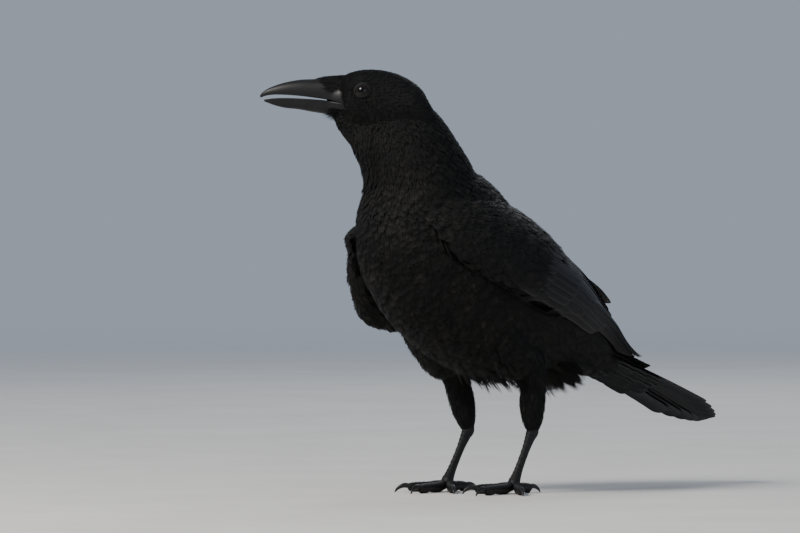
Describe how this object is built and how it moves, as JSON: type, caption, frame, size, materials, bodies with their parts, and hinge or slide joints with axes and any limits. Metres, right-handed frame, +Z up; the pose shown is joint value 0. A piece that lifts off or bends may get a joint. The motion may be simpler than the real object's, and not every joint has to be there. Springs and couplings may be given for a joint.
{
  "type": "crow",
  "caption": "Life-size standing crow, head turned to its right, bill slightly open and right wing held low.",
  "frame": {"origin": "middle of the bird's bounding box, on the floor that its toes and claws stand on", "axes": "+Z up; the body faces -Y and its left side is +X; the head is turned about 40 degrees to its right"},
  "size_m": [0.1364, 0.359, 0.293],
  "materials": {
    "plumage": "soft black body feathers with a faint blue sheen",
    "flight_feathers": "satin black vanes with a blue-violet sheen",
    "bill": "satin black horn",
    "eye": "wet glossy dark brown",
    "leg": "black scaly skin",
    "claw": "polished black horn"
  },
  "bodies": {
    "root": {"torso": "plumage", "neck": "plumage", "head": "plumage", "thigh_left": "plumage", "thigh_right": "plumage", "wing_left": "flight_feathers", "wing_right": "flight_feathers", "tail": "flight_feathers", "bill_upper": "bill", "bill_lower": "bill", "eye_left": "eye", "eye_right": "eye", "tarsus_left": "leg", "tarsus_right": "leg", "toe_inner_left": "leg", "toe_middle_left": "leg", "toe_outer_left": "leg", "toe_hind_left": "leg", "toe_inner_right": "leg", "toe_middle_right": "leg", "toe_outer_right": "leg", "toe_hind_right": "leg", "claw_inner_left": "claw", "claw_middle_left": "claw", "claw_outer_left": "claw", "claw_hind_left": "claw", "claw_inner_right": "claw", "claw_middle_right": "claw", "claw_outer_right": "claw", "claw_hind_right": "claw"}
  },
  "joints": []
}
